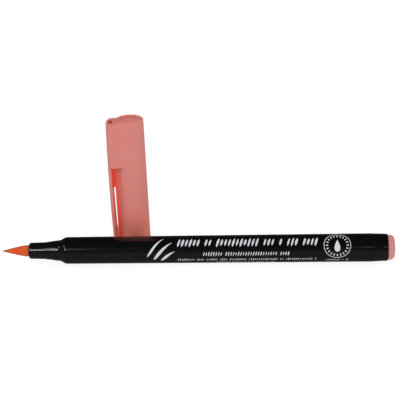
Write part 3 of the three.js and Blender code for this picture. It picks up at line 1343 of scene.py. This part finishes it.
def capRings():
    # rings from the bore's top, down the bore, round the mouth, up the outside and into the dish:
    # a round one has a radius and a height, an outline has a height and the land's and block's insets
    look = capLook
    bore = look["boreRadius"]
    boreTop = capHeight - look["dishDepth"] - look["topThickness"]
    step = look["boreStep"]
    edge = look["mouthEdge"]
    steps = look["edgeSteps"]
    places = [(0.0, boreTop), (look["upperBore"], boreTop), (look["upperBore"], step)]
    places += [(bore, step), (bore, edge)]
    # a groove inside the mouth, then its rounded outer edge
    places += [(bore + edge - inset, rise) for rise, inset in edgeInsets(edge, steps)[::-1]]
    places += [(bodyRadius(0) - inset, rise) for rise, inset in edgeInsets(edge, steps)]
    rings = [("round", *place) for place in places]

    landBottom = look["landBottom"]
    landTop = landBottom + look["landEdge"]
    rings.append(("outline", landBottom, None, None))
    insets = edgeInsets(look["landEdge"], steps)
    rings += [("outline", landBottom + rise, inset, None) for rise, inset in insets]
    levels = evenly(landTop, look["blockBottom"], look["landLevels"])[1:]
    rings += [("outline", level, 0.0, None) for level in levels]
    levels = evenly(look["blockBottom"], blockTop - look["blockEdge"], look["blockLevels"])
    rings += [("outline", level, None, 0.0) for level in levels]
    insets = edgeInsets(look["blockEdge"], look["topSteps"])[-2::-1]
    rings += [("outline", blockTop - drop, None, inset) for drop, inset in insets]
    for side, depth in (("Outer", 0.0), ("Outer", 1.0), ("Inner", 1.0), ("Inner", 0.0)):
        rings.append(("pocket", look["pocket" + side], depth))

    places = [(bodyRadius(blockTop), blockTop)]
    edge = look["topEdge"]
    rim = capMouthRadius - look["draft"]
    places += arcPoints((rim - edge, capHeight - edge), edge, 0, 90, look["topSteps"])[1:]
    # a groove and a lip round the dish, then the dish's own rounded foot
    dish = rim - look["rimWidth"]
    fillet = look["dishFillet"]
    floor = capHeight - look["dishDepth"]
    insets = edgeInsets(fillet, steps)[::-1]
    places += [(dish + fillet - inset, capHeight - drop) for drop, inset in insets]
    places += arcPoints((dish - fillet, floor + fillet), fillet, 0, -90, steps)
    gate = look["gateRadius"]
    gateTop = floor + look["gateHeight"]
    places += [(gate + look["gateSlope"], floor), (gate, gateTop), (0.0, gateTop)]
    return rings + [("round", *place) for place in places]


def ringPoint(ring, angle):
    kind, *sizes = ring
    if kind == "round":
        return sizes
    if kind == "outline":
        return outlineRadius(angle, *sizes), sizes[0]
    # the pocket's walls, which close up outside its span
    look = capLook
    radius, depth = sizes
    most = outlineRadius(angle, blockTop, None, look["blockEdge"])
    radius = min(max(bodyRadius(blockTop), radius), most)
    inPocket = abs(angle) < math.radians(look["pocketHalf"] * (1 + look["pocketSlope"]) / 2)
    return radius, blockTop - (look["pocketDepth"] * depth if inPocket else 0.0)


def makeCapBody():
    rings = []
    for ring in capRings():
        points = []
        for angle in capAngles():
            radius, height = ringPoint(ring, angle)
            points.append(capPoint(radius * math.cos(angle), radius * math.sin(angle), height))
        rings.append(points)
    return finishMesh("capBody", loftRings(rings, closed=False), capPlastic)


def markRecessShade(made, depthAt):
    # a vertex value from 0 to 1 for how much painted shade and painted red glow a place gets between
    # facing walls
    attribute = made.data.attributes.new("recessShade", "FLOAT", "POINT")
    for vertex in made.data.vertices:
        offset = vertex.co - capAxis
        out = offset.dot(clipOut) / mm
        across = offset.dot(flexAxis) / mm
        attribute.data[vertex.index].value = depthAt(out, across, offset.z / mm)


# how strong the painted shade and red glow is in each hollow
recessShadeLook = {
    # places are counted from the cap's axis and to each side, in millimetres
    "slotInner": 4.4,
    "slotOuter": 7.15,
    "slotHalf": 2.2,
    "slotFade": 1.0,
    "pocketShade": 0.4,
    "webShade": 1.0,
    "backShade": 0.8,
    "slack": 0.05,
    "backSlack": -0.2,
}


# painted shade and red glow in the slot under the clip and in the pocket
def bodyRecessShade(out, across, height):
    look = recessShadeLook
    slack = look["slack"]
    inSlot = out < look["slotOuter"] and abs(across) < look["slotHalf"]
    if inSlot and height < capLook["blockBottom"] + slack:
        return min(1.0, max(0.0, (out - look["slotInner"]) / look["slotFade"]))
    side = math.degrees(math.atan2(abs(across), out))
    inPocket = capLook["pocketInner"] - slack < out < capLook["pocketOuter"] + slack
    inPocket = inPocket and side < capLook["pocketHalf"] + slack
    if inPocket and height > blockTop - capLook["pocketDepth"] - slack:
        return look["pocketShade"]
    return 0.0


capBody = makeCapBody()
markRecessShade(capBody, bodyRecessShade)
print("cap body made")

bladeLook = {
    "halfTop": 3.0,
    "halfEnd": 2.4,
    "backOut": 7.15,  # the blade's flat back, from the cap's axis
    "ribHalf": 1.45,
    "ribTop": 6.68,
    "ribEnd": 6.46,
    "webOut": 6.1,  # where the web meets the land
    "webRise": 0.3,  # how far above the hinge the web's foot starts, and below it ends
    "webDrop": 0.05,
    "bumpOut": 6.2,
    "bumpHeights": (6.6, 9.2),
    "ribEndHeight": 4.4,
    "ribSink": 0.02,
    "corner": 0.12,
    "ribCorner": 0.1,
    "embed": 0.6,
    "embedInset": 0.2,
    "embedStep": 0.02,
    "straight": 7.0,
    "straightSteps": 14,
    "webSteps": 7,
    "endRound": 1.1,
    "endInset": 0.16,
    "endShare": 0.96,  # of the rounded end's length, where its flat tip starts
    "faceSteps": 16,
    "armSteps": 44,
    "endSteps": 8,
}


def ribInner(height):
    # how near the cap's axis the rib comes: web, slit, then the bump at the end
    look = bladeLook
    footTop = hingeHeight + look["webRise"]
    if height >= footTop:
        return look["webOut"]
    if height >= hingeHeight - look["webDrop"]:
        share = (footTop - height) / (look["webRise"] + look["webDrop"])
        return look["webOut"] + (look["ribTop"] - look["webOut"]) * math.sqrt(share)
    low, high = look["bumpHeights"]
    share = min(1.0, (hingeHeight - height) / (hingeHeight - high))
    slope = look["ribTop"] + (look["ribEnd"] - look["ribTop"]) * share
    rise = math.sin(math.pi / 2 * min(1.0, max(0.0, (high - height) / (high - low))))
    return slope + (look["bumpOut"] - slope) * rise


def bladeOutline(height, inset):
    # the blade's section at a height: an arched face, a flat back and the rib behind it
    look = bladeLook
    share = (height - bladeEnd) / (capLook["blockBottom"] - bladeEnd)
    half = look["halfEnd"] + (look["halfTop"] - look["halfEnd"]) * share
    rounding = look["endRound"]
    past = max(0.0, (bladeEnd + rounding - height) / rounding)
    half -= rounding * (1 - math.sqrt(max(0.0, 1 - past * past))) + inset
    face = capLook["blockFace"]
    centre = clipReach(height) - inset - face
    across = evenly(-half, half, look["faceSteps"])
    points = [(centre + math.sqrt(face * face - place * place), place) for place in across]
    back = look["backOut"] + inset
    cut = look["corner"]
    ribHalf = min(look["ribHalf"], half - 2 * cut) - inset
    inner = ribInner(height) + inset
    if height < look["ribEndHeight"]:
        inner = back - look["ribSink"]
    notch = min(look["ribCorner"], (back - inner) / 3)
    side = [
        (back + cut, half),
        (back, half - cut),
        (back, ribHalf + notch),
        (back - notch, ribHalf),
        (inner + notch, ribHalf),
        (inner, ribHalf - notch),
    ]
    return points + side + [(out, -place) for out, place in reversed(side)]


def bladeHeights():
    # (height, inset) pairs from inside the block down to the rounded end
    look = bladeLook
    top = capLook["blockBottom"]
    shortEnd = bladeEnd + look["endRound"]
    heights = [(top + rise, look["embedInset"]) for rise in (look["embed"], look["embedStep"])]
    levels = evenly(top, top - look["straight"], look["straightSteps"])
    levels += evenly(hingeHeight + look["webRise"], hingeHeight - look["webDrop"], look["webSteps"])
    levels += evenly(hingeHeight - 2 * look["webDrop"], shortEnd, look["armSteps"])[1:]
    heights += [(height, 0.0) for height in levels]
    for share in evenly(0, 1, look["endSteps"])[1:]:
        drop = look["endRound"] * look["endShare"] * math.sin(math.pi / 2 * share)
        heights.append((shortEnd - drop, look["endInset"] * share))
    return heights


def makeBlade():
    rings = []
    for height, inset in bladeHeights():
        outline = bladeOutline(height, inset)
        rings.append([capPoint(out, across, height) for out, across in outline])
    work = loftRings(rings, closed=False)
    work.verts.ensure_lookup_table()
    count = len(rings[0])
    work.faces.new(work.verts[:count])
    work.faces.new(work.verts[-count:])
    return finishMesh("clipBlade", work, capPlastic)


# painted shade and red glow on the web and on the clip's back
def bladeRecessShade(out, across, height):
    look = recessShadeLook
    back = bladeLook["backOut"]
    if height > hingeHeight:
        return look["webShade"] if out < back + look["slack"] else 0.0
    return look["backShade"] if out < back + look["backSlack"] else 0.0


clipBlade = makeBlade()
markRecessShade(clipBlade, bladeRecessShade)
print("clip made")


# What rides on what

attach(noseSection, "pen")
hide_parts("nose_section")

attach(barrelTube, "pen")
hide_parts("barrel")

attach(tailPlug, "pen")
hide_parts("tail_plug")

for mark in printedMarks:
    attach(mark, "pen")

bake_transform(brushNib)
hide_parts("brush_tip", "nib_shank")

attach(capBody, "cap")
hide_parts("cap_shell")

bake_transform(clipBlade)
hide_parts("clip_arm")

for nodeName, nodeMaterial in {
    "ink_core": coreFibre,
    "core_sleeve": coreFilm,
    "inner_cap": plugPlastic,
}.items():
    cadMesh = frame["nodes"][nodeName].data
    cadMesh.materials.clear()
    cadMesh.materials.append(nodeMaterial)
print("pieces placed on their bodies")

bpy.context.scene.view_settings.view_transform = "Standard"
